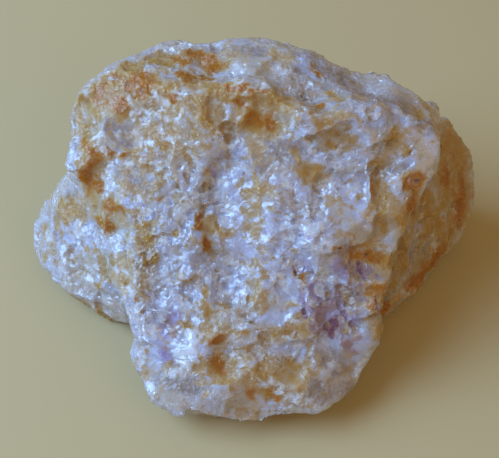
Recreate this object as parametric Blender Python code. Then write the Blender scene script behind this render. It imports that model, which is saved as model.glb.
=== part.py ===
"""A rough, broken lump of golden healer quartz, resting on a flat face that it broke along.

Run with: blender --background --python part.py

The stone is one piece. It starts as a few blunt masses that are fused, and it is then pared down in the way
that such a stone breaks: by large chips, by long breaks that leave ledges, by shell-shaped hollows, and by
many small chips. Lengths are in millimetres, X to the right, Y to the back and Z up; MM turns them to metres.
"""

import math
import random

import bmesh
import bpy
import numpy as np
from mathutils import Vector, noise
from mathutils.bvhtree import BVHTree

MM = 0.001

# Corners of the blunt masses. Each mass is the convex block around its corners. Those below zero are cut off
# by the flat foot.
MASSES = {
    "main": [
        # the far edge of the top, left to right
        (-27.4, 16.3, 29.5), (-23.4, 21.2, 31), (-19.5, 23, 32), (-12.4, 24.4, 33.6), (-4, 24, 34.3),
        (6, 23.3, 35), (15.4, 20.1, 33.8), (25.2, 16.3, 31), (30, 15, 28),
        # the crest between the top and the front face
        (-21.5, 17, 33.5), (-14.8, 14.4, 35.5), (-5, 10, 37.8), (7, 6.5, 38.3), (15.7, 6, 37),
        (25.4, 6.6, 34),
        # the right rim, which overhangs, from the crest down to the toe
        (28.5, 3.8, 31), (28, 1, 28.5), (26.3, -2, 25.5), (24.6, -5.7, 22), (23.4, -9.4, 18), (22, -12.6, 15),
        (20.5, -16, 12),
        # the left edge of the front face
        (-28, 8.4, 27), (-28.4, 5.8, 24.5), (-26, 2, 21.5), (-22.6, -2, 19), (-19.5, -7, 16.5),
        (-18, -12, 13),
        # under the front face
        (-17, -18, 10), (0, -23.5, 8), (19.5, -18, 9),
        # the sides and the back, down to the floor
        (-29.8, 12, 18), (-21, 27, 10), (-8, 30, 12), (10, 28, 8), (22, 23, 9), (22, 2, 10),
        (-21, 17, -1), (-14, -6, -1), (14, -8, -1), (20, 13, -1), (2, 26, -1), (-10, 25, -1),
    ],
    "front_toe": [
        (-19, -15.5, 6), (-18, -19.5, 6), (-15.5, -24, 4.5), (-11, -27, 4.5), (-4, -27.4, 4.5),
        (8.5, -27.2, 4.5), (11.2, -26.2, 4.7), (14.2, -24, 5), (16.5, -21.9, 5.3), (18.8, -19.1, 5.5),
        (20.9, -17.2, 7), (21.2, -15.1, 8), (21, -11, 12), (0, -21, 13), (-16, -15, 13), (-12, -20, -1),
        (-3, -24, -1), (8, -23, -1), (16, -12, -1), (-14, -8, -1), (0, 0, 15),
    ],
    "left_lobe": [
        (-37.2, 5.5, 4), (-37.2, 9, 6), (-35.6, 10.5, 9.5), (-33.4, 11, 12.5), (-31, 11.5, 16), (-28, 9, 20),
        (-34, 0, 3.5), (-29.5, -4.8, 3.5), (-23.5, -10.2, 3.5), (-18, -10.8, 4), (-17, -6, 13), (-23, 0, 17),
        (-33, 6, -1), (-23, -6, -1), (-16, -6, -1), (-20, 15, -1), (-31, 13, -1), (-26, 18, 12),
    ],
    "right_heel": [
        (31, 15.5, 26), (33.3, 15, 23), (36.5, 15.2, 18), (37.8, 14.8, 14), (39, 13, 8), (36.4, 7.2, 4.5),
        (32, 2, 3.5), (26.8, -5, 3.5), (22.5, -9.5, 3), (30, 21, 5), (25, 22, 19), (21, 0, 16), (27, 3, 17),
        (31, 7, -1), (34, 13, -1), (23, -5, -1), (24, 20, -1), (14, -8, -1),
    ],
}

# Long breaks. Seen from outside and going along the line, the skin falls away on the right-hand side.
LEDGES = [
    {"line": [(-6.3, -14, 17.5), (-7, -8, 24), (-6, -2, 29.5), (-4.5, 4, 35)], "reach": 9.0, "drop": 1.7},
    {"line": [(11, -8, 20.5), (18, -7.5, 21), (19.5, -4, 25), (17.5, 0.5, 29)], "reach": 6.0, "drop": 1.4},
    {"line": [(20, 10, 35), (8, 11, 37.5), (-4, 14, 37), (-14, 17, 35)], "reach": 7.0, "drop": 1.0},
    {"line": [(-27, 3, 23), (-21, -1, 20), (-18.5, -8, 16)], "reach": 5.0, "drop": 1.6},
    {"line": [(-6, -19, 12), (10, -18, 11.5), (22, -13, 14)], "reach": 6.5, "drop": 1.2},
]

# Shell-shaped hollows, each at the skin's nearest point to the place given.
HOLLOWS = [
    {"at": (2.2, 3.4, 34.5), "radius": 5.8, "depth": 1.5},
    {"at": (-6.4, -7.5, 24.2), "radius": 3.2, "depth": 1.9},
    {"at": (12, 0, 30), "radius": 4.6, "depth": 1.0},
    {"at": (24.3, -3.2, 24.5), "radius": 3.2, "depth": 1.4},
    {"at": (-3, -20, 9.5), "radius": 3.8, "depth": 1.2},
    {"at": (1, -24, 6), "radius": 3.8, "depth": 1.3},
    {"at": (6, -21, 9.5), "radius": 3.4, "depth": 1.1},
    {"at": (12.6, -13, 15.7), "radius": 6.5, "depth": 1.3},
    {"at": (3.3, -13, 16.5), "radius": 4.4, "depth": 1.0},
    {"at": (-12, -16, 12), "radius": 4.0, "depth": 1.3},
    {"at": (-23.2, 2.5, 23.6), "radius": 3.8, "depth": 1.3},
    {"at": (-21.5, -1.5, 20), "radius": 3.6, "depth": 1.2},
]

# Chips all over: how many, and the ranges of their radius and depth. The large ones came off before the long
# breaks, and the small ones after.
LARGE_CHIPS = [
    {"count": 46, "radius": (6.5, 10.0), "depth": (0.5, 1.0)},
]
SMALL_CHIPS = [
    {"count": 130, "radius": (4.0, 5.6), "depth": (0.3, 0.6)},
    {"count": 420, "radius": (2.3, 3.4), "depth": (0.2, 0.45)},
]
CHIP_LEAN = 0.1  # how far a chip's floor tips, as a slope
CHIP_JITTER = 0.4  # how far a chip strays from even spacing, as an angle
WALL_RATIO = 1.4  # the most that a hollow or a chip takes off, as a share of its depth
CENTRING_SPAN = 0.7  # the share of a chip's radius over which its outward direction is averaged

WAVER = 1.7  # how far the edge of a chip or a hollow strays from a plain circle
WAVER_LENGTH = 4.2  # the distance over which it strays and comes back
LEDGE_WAVER = 0.5  # a long break strays by this share of that
LEDGE_END = 1.5  # how far a break fades out past each end of its line

FUSE_GRAIN = 0.62  # size of the squares of the mesh that the masses are fused into
SOFTENING = 0.6
SOFTENING_STEPS = 6
FOOT_SLOPE = -0.85  # skin that faces down more than this belongs to the foot, and isn't chipped
TRIANGLES = 9200
SEED = 11


def block_around(corners):
    """The convex block around these corners."""
    block = bmesh.new()
    for corner in corners:
        block.verts.new(Vector(corner) * MM)
    bmesh.ops.convex_hull(block, input=block.verts)
    inside = [v for v in block.verts if not v.link_faces]
    bmesh.ops.delete(block, geom=inside, context="VERTS")
    bmesh.ops.recalc_face_normals(block, faces=block.faces)
    return block


def stone_of_masses():
    """One object that holds every mass as its own closed shell."""
    whole = bmesh.new()
    for corners in MASSES.values():
        block = block_around(corners)
        piece = bpy.data.meshes.new("mass")
        block.to_mesh(piece)
        block.free()
        whole.from_mesh(piece)
        bpy.data.meshes.remove(piece)
    mesh = bpy.data.meshes.new("quartz")
    whole.to_mesh(mesh)
    whole.free()
    stone = bpy.data.objects.new("quartz", mesh)
    bpy.context.scene.collection.objects.link(stone)
    return stone


def apply_modifiers(stone):
    """Puts the modified shape in the stone's mesh."""
    graph = bpy.context.evaluated_depsgraph_get()
    finished = bpy.data.meshes.new_from_object(stone.evaluated_get(graph))
    rough = stone.data
    stone.modifiers.clear()
    stone.data = finished
    bpy.data.meshes.remove(rough)


def fuse(stone):
    """Joins the masses into one skin and blunts their edges."""
    remesh = stone.modifiers.new("Fuse", "REMESH")
    remesh.mode = "VOXEL"
    remesh.voxel_size = FUSE_GRAIN * MM
    soften = stone.modifiers.new("Soften", "SMOOTH")
    soften.factor = SOFTENING
    soften.iterations = SOFTENING_STEPS
    apply_modifiers(stone)


class Surface:
    """The stone's points in millimetres, and the breaks that pare them down."""

    def __init__(self, mesh):
        self.mesh = mesh
        self.points = np.empty(len(mesh.vertices) * 3, np.float32)
        mesh.vertices.foreach_get("co", self.points)
        self.points = self.points.reshape(-1, 3).astype(float) / MM
        self.waver = np.array([self.waver_at(point) for point in self.points])
        self.find_skin()

    @staticmethod
    def waver_at(point):
        return np.array(noise.noise_vector(Vector(point) / WAVER_LENGTH)) * WAVER

    def find_skin(self):
        """Looks the skin up anew, after breaks that moved it."""
        faces = [tuple(p.vertices) for p in self.mesh.polygons]
        self.tree = BVHTree.FromPolygons([Vector(p) for p in self.points], faces)

    def nearest(self, place, span):
        """The skin's nearest point to place, and its outward direction averaged over span."""
        found = self.tree.find_nearest(Vector(place))
        around = self.tree.find_nearest_range(found[0], span)
        outward = sum((hit[1] for hit in around), Vector()).normalized()
        return np.array(found[0]), np.array(outward)

    def hollow(self, centre, outward, radius, depth, lean=(0.0, 0.0)):
        """Pares the skin down to a shallow bowl whose rim is level with centre, tipped by lean."""
        away = self.points - centre
        near = np.flatnonzero((away * away).sum(1) < (1.6 * radius) ** 2)
        height = away[near] @ outward
        flat = away[near] + self.waver[near] - self.waver_at(centre)
        side = np.cross(outward, (0.0, 0.0, 1.0) if abs(outward[2]) < 0.9 else (1.0, 0.0, 0.0))
        side /= np.linalg.norm(side)
        across, along = flat @ side, flat @ np.cross(outward, side)
        share = (across**2 + along**2) / radius**2
        floor = depth * (share - 1) + lean[0] * across + lean[1] * along
        taken = np.clip(height - floor, 0, WALL_RATIO * depth)
        taken[share > 1] = 0
        self.points[near] -= np.outer(taken, outward)

    def ledge(self, line, reach, drop):
        """Lets the skin fall away on the right of a line, steeply at the line and then less and less."""
        line = np.array(line, float)
        strayed = self.points + LEDGE_WAVER * (self.waver - self.waver_at(line.mean(0)))
        lowered = np.zeros(len(self.points))
        toward = np.zeros((len(self.points), 3))
        for start, end in zip(line[:-1], line[1:]):
            outward = self.nearest((start + end) / 2, reach / 2)[1]
            run = end - start
            length = np.linalg.norm(run)
            run /= length
            away = strayed - start
            along = away @ run
            beside = away @ np.cross(run, outward)
            ends = np.clip((np.minimum(along, length - along) / LEDGE_END + 1) / 2, 0, 1)
            fall = drop * ends * np.clip(1 - beside / reach, 0, 1)
            fall[(beside < 0) | (np.abs(away @ outward) > reach)] = 0
            deeper = fall > lowered
            lowered[deeper] = fall[deeper]
            toward[deeper] = outward
        self.points -= lowered[:, None] * toward


def break_ledges(surface):
    for ledge in LEDGES:
        surface.ledge(ledge["line"], ledge["reach"], ledge["drop"])
        surface.find_skin()


def break_hollows(surface):
    for spot in HOLLOWS:
        centre, outward = surface.nearest(spot["at"], spot["radius"])
        surface.hollow(centre, outward, spot["radius"], spot["depth"])


def chip_places(surface, count, draw):
    """Points spread evenly over all directions from the stone's middle, each moved a little at random."""
    middle = (surface.points.max(0) + surface.points.min(0)) / 2
    far = np.ptp(surface.points)
    golden_angle = math.pi * (3 - math.sqrt(5))
    for i in range(count):
        height = 1 - 2 * (i + draw.random()) / count
        angle = i * golden_angle + draw.uniform(-CHIP_JITTER, CHIP_JITTER)
        ring = math.sqrt(max(0.0, 1 - height * height))
        way = Vector((ring * math.cos(angle), ring * math.sin(angle), height))
        hit = surface.tree.ray_cast(Vector(middle) + way * far, -way)
        if hit[0] is not None and hit[1].z > FOOT_SLOPE:
            yield hit[0]


def break_chips(surface, sizes):
    draw = random.Random(SEED)
    for size in sizes:
        surface.find_skin()
        for place in list(chip_places(surface, size["count"], draw)):
            radius = draw.uniform(*size["radius"])
            depth = draw.uniform(*size["depth"])
            lean = (draw.gauss(0, CHIP_LEAN), draw.gauss(0, CHIP_LEAN))
            centre, outward = surface.nearest(place, radius * CENTRING_SPAN)
            surface.hollow(centre, outward, radius, depth, lean)


def store(surface):
    surface.mesh.vertices.foreach_set("co", (surface.points * MM).astype(np.float32).ravel())
    surface.mesh.update()


def thin_out(stone):
    """Leaves long triangles on flat faces and small ones along the breaks."""
    now = sum(len(p.vertices) - 2 for p in stone.data.polygons)
    decimate = stone.modifiers.new("Thin", "DECIMATE")
    decimate.ratio = TRIANGLES / now
    decimate.use_collapse_triangulate = True
    apply_modifiers(stone)


def stand_on_foot(mesh):
    """Ends the stone in a flat foot at z = 0, with the middle of its box over the origin."""
    points = np.empty(len(mesh.vertices) * 3, np.float32)
    mesh.vertices.foreach_get("co", points)
    points = points.reshape(-1, 3)
    points[:, 2] = np.maximum(points[:, 2], 0.0)
    points[:, :2] -= (points[:, :2].max(0) + points[:, :2].min(0)) / 2
    mesh.vertices.foreach_set("co", points.ravel())
    mesh.update()


def quartz_material():
    """Golden, slightly milky, with a glassy break."""
    material = bpy.data.materials.new("quartz")
    material.use_nodes = True
    shader = material.node_tree.nodes["Principled BSDF"]
    shader.inputs["Base Color"].default_value = (0.55, 0.38, 0.21, 1)
    shader.inputs["Roughness"].default_value = 0.28
    shader.inputs["Metallic"].default_value = 0.0
    shader.inputs["IOR"].default_value = 1.544
    return material


def main():
    for obj in list(bpy.data.objects):
        bpy.data.objects.remove(obj)
    noise.seed_set(SEED)
    stone = stone_of_masses()
    fuse(stone)
    surface = Surface(stone.data)
    break_chips(surface, LARGE_CHIPS)
    break_ledges(surface)
    break_hollows(surface)
    break_chips(surface, SMALL_CHIPS)
    store(surface)
    thin_out(stone)
    stand_on_foot(stone.data)
    stone.data.materials.append(quartz_material())


main()
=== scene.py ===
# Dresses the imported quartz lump: finer breaks on its form, stained milky quartz, a pale table, soft light.

import math

import bpy
import numpy as np
from mathutils import Matrix, Vector, noise


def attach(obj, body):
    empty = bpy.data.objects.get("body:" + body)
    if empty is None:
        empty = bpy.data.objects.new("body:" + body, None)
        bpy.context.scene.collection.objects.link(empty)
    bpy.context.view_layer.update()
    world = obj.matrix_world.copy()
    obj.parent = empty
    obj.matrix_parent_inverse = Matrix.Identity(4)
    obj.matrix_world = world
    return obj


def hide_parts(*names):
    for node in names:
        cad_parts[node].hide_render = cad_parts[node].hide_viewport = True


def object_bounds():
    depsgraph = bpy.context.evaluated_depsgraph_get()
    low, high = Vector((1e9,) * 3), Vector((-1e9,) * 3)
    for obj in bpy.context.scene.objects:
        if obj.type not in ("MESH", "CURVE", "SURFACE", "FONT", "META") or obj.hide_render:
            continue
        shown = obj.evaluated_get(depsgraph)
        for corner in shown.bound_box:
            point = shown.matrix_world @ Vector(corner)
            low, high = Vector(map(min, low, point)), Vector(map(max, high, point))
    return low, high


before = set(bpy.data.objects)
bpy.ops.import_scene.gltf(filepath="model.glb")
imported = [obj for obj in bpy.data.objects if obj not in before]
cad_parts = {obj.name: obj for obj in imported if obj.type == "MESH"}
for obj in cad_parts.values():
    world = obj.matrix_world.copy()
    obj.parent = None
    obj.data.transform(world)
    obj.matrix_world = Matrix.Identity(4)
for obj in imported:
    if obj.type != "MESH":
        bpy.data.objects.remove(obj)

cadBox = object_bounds()
mm = 0.001


def deselectAll():
    if bpy.context.object and bpy.context.object.mode != "OBJECT":
        bpy.ops.object.mode_set(mode="OBJECT")
    bpy.ops.object.select_all(action="DESELECT")


def pick(obj):
    deselectAll()
    obj.select_set(True)
    bpy.context.view_layer.objects.active = obj


camera = {
    "lens": 70,
    "film": 36,  # mm across
    "place": (-0.78, -93.7, 134.5),  # mm
    "lookDown": 52,  # degrees under the horizon
    "nearest": 10,  # mm, what is nearer isn't seen
}

# places and sizes in mm
studio = {
    "window": {"place": (-428, -5, 345), "size": 440, "watts": 6.9, "colour": (0.30, 0.55, 1.0)},
    "lamp": {"place": (-120, -330, 420), "size": 36, "watts": 0.04, "colour": (0.85, 0.92, 1.0)},
    "fill": {"place": (300, -260, 300), "size": 320, "watts": 0.3, "colour": (1.0, 0.74, 0.44)},
    "lookAt": (0, 0, 14),
    "sky": (0.96, 0.78, 0.47),
    "skyStrength": 0.36,
}


def cameraTilt():
    # from looking straight down to where the camera looks
    return math.radians(90 - camera["lookDown"])


def addCamera():
    deselectAll()
    bpy.ops.object.camera_add(location=Vector(camera["place"]) * mm, rotation=(cameraTilt(), 0, 0))
    eye = bpy.context.object
    eye.name = "stoneView"
    eye.data.lens = camera["lens"]
    eye.data.sensor_width = camera["film"]
    eye.data.clip_start = camera["nearest"] * mm
    bpy.context.scene.camera = eye


def addLamp(name, lamp):
    deselectAll()
    place = Vector(lamp["place"]) * mm
    aim = Vector(studio["lookAt"]) * mm
    bpy.ops.object.light_add(type="AREA", location=place)
    light = bpy.context.object
    light.name = name
    light.rotation_euler = (place - aim).to_track_quat("Z", "Y").to_euler()
    light.data.shape = "SQUARE"
    light.data.size = lamp["size"] * mm
    light.data.energy = lamp["watts"]
    light.data.color = lamp["colour"]


def addLight():
    for name in ("window", "lamp", "fill"):
        addLamp(name, studio[name])
    world = bpy.data.worlds.new("sky")
    bpy.context.scene.world = world
    world.use_nodes = True
    background = world.node_tree.nodes["Background"]
    background.inputs["Color"].default_value = (*studio["sky"], 1)
    background.inputs["Strength"].default_value = studio["skyStrength"]
    bpy.context.scene.view_settings.view_transform = "Standard"


class Tree:
    # adds nodes to one tree and wires them; an input is a number, a vector, or another node's output

    def __init__(self, tree):
        self.tree = tree

    def node(self, kind, inputs=None, **settings):
        made = self.tree.nodes.new(kind)
        for name, value in settings.items():
            setattr(made, name, value)
        for name, value in (inputs or {}).items():
            self.feed(made.inputs[name], value)
        return made

    def feed(self, socket, value):
        if isinstance(value, bpy.types.NodeSocket):
            self.tree.links.new(value, socket)
        elif value is not None:
            socket.default_value = value

    def math(self, operation, a, b=None, c=None):
        made = self.node("ShaderNodeMath", operation=operation)
        for socket, value in zip(made.inputs, (a, b, c)):
            self.feed(socket, value)
        return made.outputs[0]

    def vector(self, operation, a, b=None, scale=None):
        made = self.node("ShaderNodeVectorMath", operation=operation)
        self.feed(made.inputs[0], a)
        self.feed(made.inputs[1], b)
        if scale is not None:
            self.feed(made.inputs["Scale"], scale)
        return made.outputs["Value" if operation == "DOT_PRODUCT" else "Vector"]

    def ramp(self, value, low, high, toLow=0.0, toHigh=1.0):
        # value from low to high becomes toLow to toHigh
        made = self.node("ShaderNodeMapRange", {
            "Value": value, "From Min": low, "From Max": high, "To Min": toLow, "To Max": toHigh},
            interpolation_type="SMOOTHSTEP")
        return made.outputs["Result"]

    def blend(self, share, a, b):
        # the colour a with this share of the colour b over it
        made = self.node("ShaderNodeMix", data_type="RGBA")
        factor, under, over = (made.inputs[number] for number in (0, 6, 7))
        self.feed(factor, share)
        for socket, colour in ((under, a), (over, b)):
            self.feed(socket, (*colour, 1) if isinstance(colour, tuple) else colour)
        return made.outputs[2]

    def parts(self, value):
        # the X, Y and Z of a vector or a colour
        return self.node("ShaderNodeSeparateXYZ", {"Vector": value}).outputs

    def noise(self, place, scale, detail, output="Fac"):
        made = self.node("ShaderNodeTexNoise", {"Vector": place, "Scale": scale, "Detail": detail})
        return made.outputs[output]

    def even(self, value):
        # a value about 0.5 becomes one about 0, and swings twice as far
        return self.math("MULTIPLY", self.math("SUBTRACT", value, 0.5), 2.0)


def newGroup(name, kind, inputs, outputs):
    # a node group with its named sockets, ready to be filled
    group = bpy.data.node_groups.new(name, kind)
    for way, sockets in (("INPUT", inputs), ("OUTPUT", outputs)):
        for title, sort, *value in sockets:
            made = group.interface.new_socket(name=title, in_out=way, socket_type="NodeSocket" + sort)
            if value:
                made.default_value = value[0]
    start = group.nodes.new("NodeGroupInput")
    end = group.nodes.new("NodeGroupOutput")
    return group, Tree(group), start.outputs, end.inputs


# where a stain, a crushed patch with painted highlights and glints, a painted blue sheen or a clear spot
# runs over the stone, as the camera sees it in a view of this width and height: from across and down, to
# across and down, and how wide
view = (499, 458)
strokes = {
    "honey": [
        (172, 57, 183, 60, 4), (142, 62, 160, 61, 3), (112, 72, 120, 73, 4), (150, 76, 158, 84, 5),
        (128, 70, 135, 75, 4), (95, 98, 120, 98, 4.5), (112, 106, 120, 108, 4.5), (92, 85, 98, 92, 3.5),
        (165, 95, 172, 97, 3.5), (84, 137, 86, 148, 3), (90, 150, 100, 156, 4.5), (195, 133, 190, 138, 4),
        (218, 84, 230, 88, 3), (272, 93, 288, 95, 3), (225, 98, 232, 100, 4), (242, 102, 272, 104, 7),
        (238, 123, 262, 122, 8), (395, 133, 393, 142, 5), (406, 150, 408, 154, 4), (343, 118, 347, 119, 3),
        (328, 92, 340, 100, 3), (420, 108, 422, 114, 3), (382, 196, 384, 210, 4), (98, 158, 90, 168, 6),
        (87, 172, 90, 192, 8), (105, 203, 118, 208, 7), (96, 219, 112, 226, 5), (70, 205, 80, 208, 4),
        (137, 228, 145, 226, 6), (175, 233, 177, 233, 2.5), (95, 285, 98, 286, 3), (383, 215, 386, 232, 4),
        (410, 200, 413, 208, 4), (385, 262, 405, 266, 7), (405, 245, 400, 270, 7), (395, 285, 385, 300, 6),
        (205, 290, 207, 318, 3), (224, 304, 227, 306, 3), (183, 324, 190, 324, 2.5),
        (215, 381, 235, 380, 3), (205, 392, 207, 393, 3), (290, 362, 296, 366, 4), (110, 262, 112, 275, 5),
        (458, 140, 460, 215, 15), (445, 160, 447, 200, 10), (450, 235, 440, 252, 12),
        (425, 270, 408, 300, 10), (440, 130, 446, 150, 7), (400, 300, 380, 335, 6),
        (209, 172, 208, 188, 2.5), (126, 62, 140, 66, 4), (116, 74, 132, 78, 4), (200, 102, 206, 120, 4),
        (206, 86, 214, 88, 2.5), (96, 92, 92, 100, 3), (120, 104, 128, 110, 3), (182, 80, 196, 84, 3),
        (258, 128, 244, 128, 5), (455, 165, 462, 180, 7), (428, 200, 430, 235, 8), (436, 215, 442, 235, 8),
        (418, 215, 412, 235, 4), (395, 215, 402, 228, 5), (130, 152, 142, 148, 3),
        (158, 142, 168, 146, 3.5), (84, 128, 82, 140, 3), (60, 214, 66, 222, 3), (118, 276, 124, 282, 4),
        (146, 262, 154, 258, 3), (148, 238, 140, 246, 5), (96, 86, 92, 104, 6), (104, 96, 122, 112, 7),
        (126, 66, 142, 76, 6), (140, 74, 148, 94, 7), (116, 70, 112, 80, 4), (100, 118, 94, 108, 4),
        (84, 100, 88, 112, 4), (150, 58, 172, 64, 4), (182, 84, 202, 86, 3), (196, 98, 206, 124, 6),
        (86, 150, 92, 200, 8), (205, 88, 220, 92, 4), (224, 96, 292, 104, 5), (245, 108, 270, 130, 8),
        (60, 206, 80, 214, 5), (210, 56, 222, 64, 4), (304, 171, 316, 171, 4.5), (320, 125, 330, 123, 3.5),
        (330, 144, 333, 147, 3), (212, 218, 222, 232, 4), (374, 186, 378, 190, 4), (140, 70, 150, 74, 4),
        (92, 88, 96, 98, 4), (100, 94, 104, 106, 4), (114, 98, 124, 108, 5), (104, 76, 116, 72, 4),
        (126, 82, 130, 90, 4), (160, 92, 172, 100, 4), (190, 80, 212, 84, 4), (226, 84, 236, 88, 4),
        (294, 153, 300, 160, 2.5), (354, 248, 368, 246, 2.5), (84, 120, 84, 132, 2.5),
        (408, 176, 420, 176, 5), (412, 184, 416, 206, 5), (212, 368, 222, 373, 4.5),
        (257, 373, 266, 376, 3.5), (263, 391, 269, 397, 4), (291, 374, 297, 384, 4.5),
        (234, 334, 248, 332, 2), (274, 335, 288, 332, 2), (301, 326, 308, 332, 3),
        (375, 162, 381, 163, 2.5), (248, 297, 252, 298, 2), (190, 72, 208, 76, 4), (222, 86, 240, 92, 4),
        (120, 146, 126, 150, 2), (145, 146, 150, 150, 2.5), (78, 104, 76, 128, 5), (158, 54, 172, 56, 4),
        (254, 180, 258, 190, 3), (252, 204, 258, 212, 3), (384, 268, 390, 288, 4), (88, 104, 108, 88, 6),
        (122, 82, 150, 72, 6), (150, 88, 176, 84, 5),
    ],
    "deep": [
        (188, 53, 212, 60, 5.5), (182, 72, 206, 75, 4), (146, 73, 141, 94, 5), (108, 154, 121, 154, 2.2),
        (241, 87, 244, 87, 3), (250, 91, 268, 91, 2.2), (266, 117, 270, 126, 4), (415, 176, 414, 193, 7),
        (412, 200, 414, 206, 3), (318, 72, 322, 73, 2), (316, 103, 322, 104, 2.5),
        (303, 275, 304, 284, 2.5), (355, 256, 376, 258, 5), (213, 343, 225, 340, 3.5),
        (216, 362, 222, 370, 4), (270, 395, 278, 399, 3), (462, 180, 460, 222, 7), (443, 252, 415, 285, 8),
        (448, 165, 448, 185, 5), (201, 214, 200, 226, 3.5), (203, 234, 206, 248, 3),
        (409, 175, 421, 174, 4), (411, 182, 411, 196, 4), (413, 200, 411, 212, 3), (104, 98, 98, 104, 2.5),
        (137, 90, 140, 98, 3), (150, 80, 141, 84, 4), (203, 74, 212, 76, 2.5), (87, 170, 88, 192, 4),
        (93, 182, 98, 190, 4), (108, 206, 118, 210, 4), (100, 224, 110, 230, 4), (250, 118, 262, 120, 5),
        (234, 100, 246, 106, 3), (268, 126, 272, 130, 3), (108, 100, 120, 108, 4), (96, 92, 94, 100, 2.5),
        (140, 76, 145, 92, 4), (190, 56, 216, 62, 4), (116, 100, 124, 104, 3.5), (100, 96, 101, 104, 3),
        (175, 57, 186, 60, 4), (178, 72, 208, 77, 3.5), (196, 54, 216, 64, 5), (165, 94, 172, 98, 3),
        (112, 74, 118, 78, 3), (126, 83, 128, 89, 2.5), (90, 150, 98, 154, 2.5), (408, 176, 420, 177, 4.5),
        (410, 184, 418, 185, 5), (412, 192, 414, 200, 4.5), (414, 204, 415, 212, 3.5),
        (335, 249, 342, 250, 2), (104, 84, 98, 92, 3), (94, 90, 97, 98, 2.5), (110, 94, 116, 100, 3),
        (120, 98, 126, 106, 3), (132, 96, 140, 92, 3), (144, 86, 150, 80, 4), (184, 78, 200, 80, 2.5),
        (200, 62, 214, 68, 4), (226, 86, 234, 90, 2.5), (106, 202, 116, 208, 4), (95, 220, 108, 226, 4),
        (82, 140, 86, 147, 3), (162, 95, 170, 98, 3), (84, 174, 90, 188, 6), (112, 154, 122, 155, 2.5),
        (98, 158, 90, 166, 4), (84, 180, 96, 186, 6), (104, 208, 120, 210, 4), (198, 54, 212, 60, 5),
        (134, 78, 144, 90, 5), (140, 70, 150, 74, 3), (372, 306, 376, 314, 3), (251, 393, 251, 398, 3.5),
        (428, 262, 438, 272, 5), (98, 98, 104, 94, 3), (376, 290, 384, 312, 7),
    ],
    "rust": [
        (126, 81, 128, 83, 2), (367, 229, 368, 230, 1.5), (294, 270, 296, 275, 2.5),
        (235, 294, 236, 299, 2), (185, 152, 187, 152, 1.3), (389, 237, 390, 238, 1.5),
        (334, 248, 342, 250, 1.8), (360, 253, 370, 256, 1.5), (267, 152, 270, 152, 1),
        (412, 180, 419, 181, 1.5), (411, 190, 414, 191, 1.2), (374, 296, 380, 310, 2),
    ],
    # crushed white quartz, and painted highlights and glints where the window light would reflect
    "frostAndHighlight": [
        (141, 68, 148, 69, 3), (158, 108, 165, 104, 6), (152, 90, 154, 98, 4), (140, 119, 149, 119, 3),
        (136, 112, 146, 112, 3), (130, 112, 128, 118, 2.5), (130, 132, 137, 133, 4),
        (158, 131, 162, 131, 4), (74, 125, 75, 140, 4), (74, 152, 79, 155, 4), (86, 84, 90, 80, 3),
        (106, 77, 114, 77, 3), (180, 44, 188, 43, 4), (198, 64, 202, 68, 2.5), (174, 92, 178, 93, 2.5),
        (100, 148, 105, 152, 3), (146, 140, 150, 140, 3), (165, 118, 168, 118, 3), (230, 65, 240, 70, 7),
        (232, 75, 238, 80, 4), (275, 67, 295, 72, 5), (305, 95, 317, 97, 5), (300, 84, 307, 84, 2.5),
        (262, 84, 280, 90, 4), (285, 89, 292, 90, 3), (322, 107, 336, 110, 2.5), (216, 42, 218, 48, 3),
        (222, 116, 226, 124, 3), (233, 127, 237, 118, 3), (217, 130, 218, 142, 2), (234, 144, 238, 148, 3),
        (221, 144, 226, 144, 2), (290, 118, 291, 126, 4), (250, 132, 256, 132, 1.5),
        (308, 150, 316, 155, 4), (298, 138, 310, 145, 4), (358, 108, 378, 116, 4), (390, 178, 398, 188, 6),
        (332, 182, 338, 184, 4), (318, 180, 321, 190, 3), (378, 138, 386, 141, 3), (415, 120, 420, 122, 3),
        (423, 128, 427, 131, 3), (403, 108, 410, 112, 3), (348, 160, 352, 170, 3),
        (404, 168, 406, 168, 2.5), (335, 192, 337, 199, 2), (366, 88, 375, 92, 3), (108, 165, 110, 186, 6),
        (104, 182, 107, 194, 4), (125, 160, 133, 170, 4), (75, 228, 84, 238, 6), (112, 234, 118, 238, 5),
        (140, 208, 147, 216, 5), (132, 221, 137, 221, 2.5), (45, 235, 54, 240, 5), (105, 258, 106, 268, 3),
        (163, 160, 164, 176, 3), (137, 275, 150, 264, 3), (172, 205, 182, 222, 6), (184, 207, 187, 208, 4),
        (57, 268, 60, 270, 4), (165, 262, 168, 275, 4), (230, 168, 240, 168, 5), (218, 180, 224, 182, 4),
        (214, 190, 216, 196, 3), (222, 198, 230, 208, 7), (284, 173, 288, 184, 4),
        (294, 188, 297, 196, 2.5), (302, 218, 306, 213, 2), (285, 220, 290, 240, 6),
        (300, 205, 312, 212, 5), (305, 228, 320, 230, 8), (260, 236, 268, 238, 4), (318, 203, 323, 215, 4),
        (371, 217, 366, 227, 3), (355, 189, 360, 187, 3), (215, 275, 225, 280, 6), (240, 282, 246, 290, 5),
        (272, 275, 285, 290, 5), (281, 273, 286, 285, 3), (288, 293, 297, 302, 3), (312, 275, 326, 282, 5),
        (318, 290, 324, 298, 5), (310, 300, 318, 305, 4), (338, 289, 345, 292, 3),
        (345, 308, 347, 310, 2.5), (352, 297, 355, 310, 3), (345, 320, 350, 330, 4),
        (147, 283, 157, 290, 5), (126, 312, 135, 308, 4), (143, 310, 146, 330, 4), (155, 310, 152, 320, 4),
        (185, 300, 188, 318, 6), (195, 325, 200, 335, 4), (152, 333, 154, 337, 2.5),
        (140, 345, 141, 360, 4), (185, 335, 195, 340, 6), (175, 355, 190, 350, 8), (170, 372, 185, 368, 6),
        (234, 325, 250, 320, 4), (247, 314, 250, 316, 3), (262, 328, 265, 335, 4),
        (232, 353, 246, 362, 2.5), (238, 362, 242, 364, 3), (285, 338, 293, 335, 4),
        (312, 350, 314, 360, 3), (327, 362, 331, 366, 3), (322, 385, 324, 386, 3), (276, 390, 282, 396, 4),
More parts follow.
